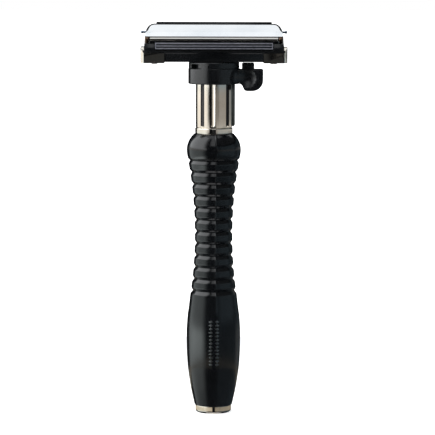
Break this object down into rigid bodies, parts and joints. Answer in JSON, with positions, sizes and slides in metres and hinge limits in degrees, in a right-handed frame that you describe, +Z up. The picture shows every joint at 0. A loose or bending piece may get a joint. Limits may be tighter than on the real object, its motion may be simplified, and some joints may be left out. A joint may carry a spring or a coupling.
{
  "type": "cartridge razor",
  "caption": "Wet-shaving razor with a ribbed black handle, nickel neck, thumb lever and a swivelling head that holds a slide-in blade cartridge under a hinged chrome cap.",
  "frame": {"origin": "middle of the end cap's flat bottom, where the razor stands", "axes": "+Z up the handle to the head, -Y the shaving side, +X the thumb lever's side"},
  "size_m": [0.043, 0.016, 0.1153],
  "materials": {
    "gloss_black": "moulded, polished",
    "satin_black": "moulded, satin",
    "warm_nickel": "bright nickel plate, slightly warm",
    "bright_chrome": "bright chromed sheet",
    "blade_steel": "ground stainless strip",
    "spring_steel": "drawn steel",
    "guard_rubber": "moulded, dull"
  },
  "bodies": {
    "handle": {"end_cap": "warm_nickel", "handle_grip": "gloss_black", "tie_rod": "spring_steel", "neck_ring": "warm_nickel", "neck_tube": "warm_nickel", "neck_key": "warm_nickel", "yoke_block": "satin_black", "swivel_pin_left": "spring_steel", "swivel_pin_right": "spring_steel", "detent_ball": "spring_steel", "spring_seat": "spring_steel"},
    "plunger": {"return_plunger": "spring_steel", "plunger_spring": "spring_steel"},
    "lock": {"lock_ring": "satin_black"},
    "head": {"head_body": "satin_black", "guard_strip": "guard_rubber", "cap_pin": "bright_chrome", "end_clip_left": "warm_nickel", "end_clip_right": "warm_nickel", "clip_rivet_left": "warm_nickel", "clip_rivet_right": "warm_nickel", "cap_spring_left": "spring_steel", "cap_spring_right": "spring_steel", "cartridge_leaf_spring": "spring_steel"},
    "cap": {"cap_shell": "bright_chrome", "cap_liner": "satin_black"},
    "cartridge": {"cartridge_base": "satin_black", "blade_lower": "blade_steel", "blade_spacer": "satin_black", "blade_upper": "blade_steel", "cartridge_rivet_1": "warm_nickel", "cartridge_rivet_2": "warm_nickel", "cartridge_rivet_3": "warm_nickel", "cartridge_end_left": "warm_nickel", "cartridge_end_right": "warm_nickel"}
  },
  "joints": [
    {"name": "head_swivel", "type": "hinge", "parent": "handle", "child": "head", "pos_m": [0, 0, 0.10475], "axis": [-1, 0, 0], "range_deg": [0, 15], "stiffness_Nm_per_rad": 0.03, "springref_deg": -17.19},
    {"name": "plunger_travel", "type": "slide", "parent": "handle", "child": "plunger", "axis": [0, 0, -1], "range_m": [0, 0.0005], "deforming": ["plunger_spring"]},
    {"name": "lock_ring_turn", "type": "hinge", "parent": "handle", "child": "lock", "pos_m": [0, 0, 0.10185], "axis": [0, 0, -1], "range_deg": [0, 30]},
    {"name": "cap_open", "type": "hinge", "parent": "head", "child": "cap", "pos_m": [0, 0.0032, 0.1123], "axis": [-1, 0, 0], "range_deg": [0, 75], "stiffness_Nm_per_rad": 0.01, "springref_deg": -22.92},
    {"name": "cartridge_slide", "type": "slide", "parent": "head", "child": "cartridge", "axis": [1, 0, 0], "range_m": [0, 0.042]}
  ],
  "couplings": [
    {"joint": "plunger_travel", "follows": "head_swivel", "m_per_rad": 0.0018}
  ]
}
